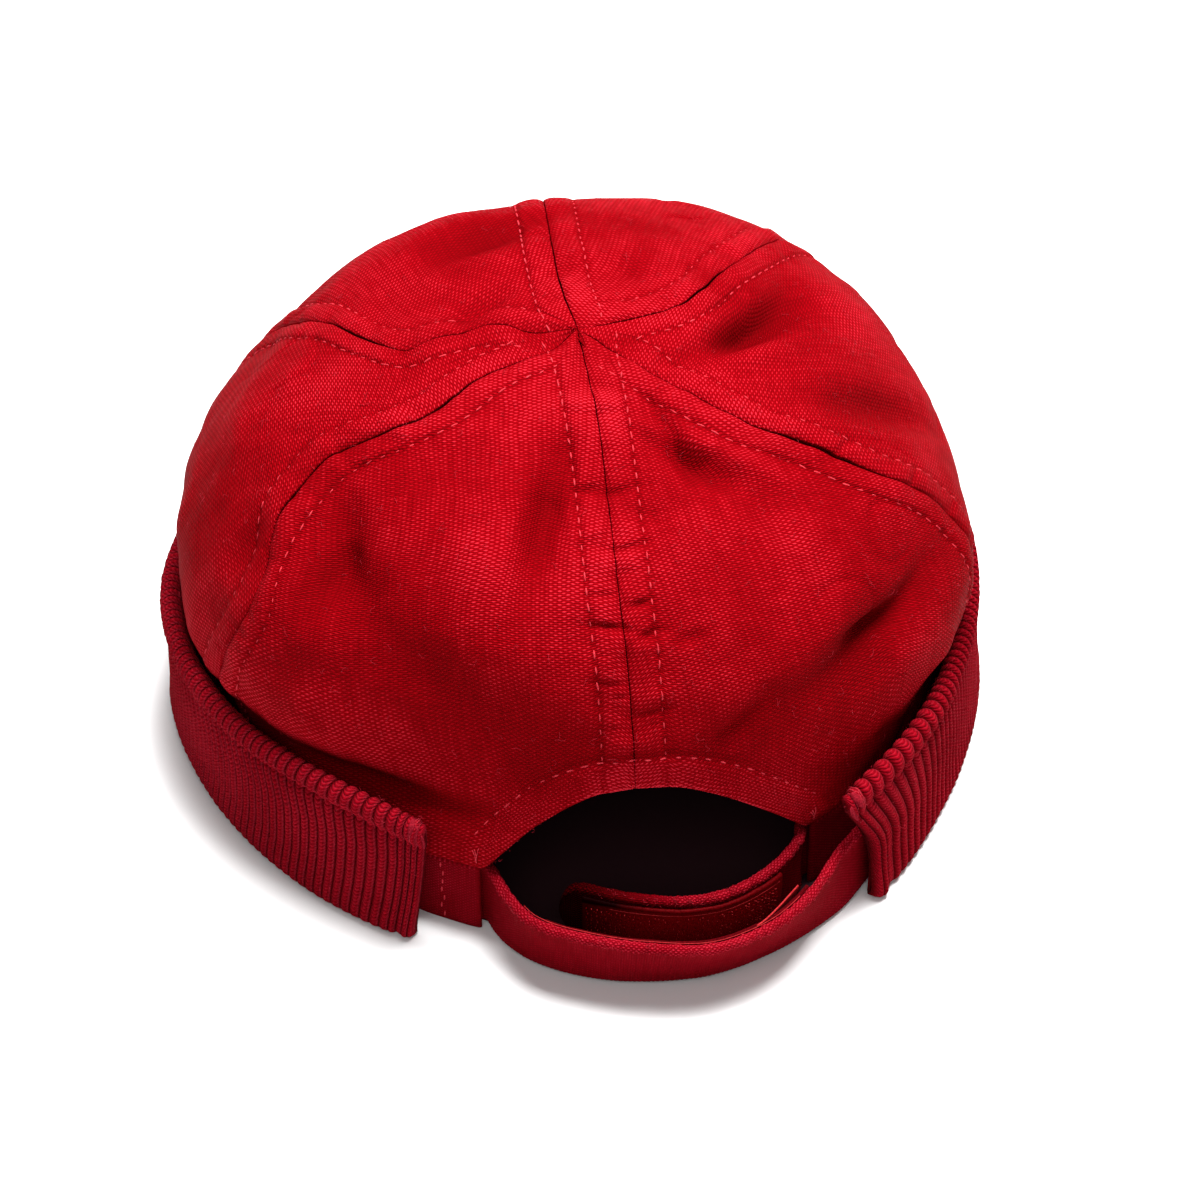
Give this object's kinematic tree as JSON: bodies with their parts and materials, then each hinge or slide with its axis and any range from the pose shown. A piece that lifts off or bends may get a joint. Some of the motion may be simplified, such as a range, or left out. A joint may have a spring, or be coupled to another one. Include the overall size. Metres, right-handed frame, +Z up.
{
  "type": "docker beanie, a brimless canvas cap with a ribbed cuff and a back strap",
  "caption": "Brimless canvas cap: domed panelled crown, turned-up ribbed cuff, arched back opening and an adjustable strap with hook and loop tape.",
  "frame": {"origin": "middle of the cap's bounding box, on the surface it rests on", "axes": "+Z up, +Y toward the wearer's forehead, +X toward the wearer's right; the arched opening and the strap are at the back, -Y"},
  "size_m": [0.1974, 0.2158, 0.0986],
  "materials": {
    "crown_canvas": "plain weave cotton canvas, worn and slightly creased",
    "band_canvas": "finer plain weave with fuzzy edges",
    "rib_knit": "rib knit with upright ribs",
    "loop_tape": "brushed loop tape",
    "hook_tape": "nylon hook tape with fine glossy hooks"
  },
  "bodies": {
    "root": {"panel_back_right": "crown_canvas", "panel_side_right": "crown_canvas", "panel_front_right": "crown_canvas", "panel_front_left": "crown_canvas", "panel_side_left": "crown_canvas", "panel_back_left": "crown_canvas", "base_band": "band_canvas", "strap_outer": "band_canvas", "strap_inner": "band_canvas", "rib_cuff": "rib_knit", "loop_tape": "loop_tape", "hook_tape": "hook_tape"}
  },
  "joints": []
}
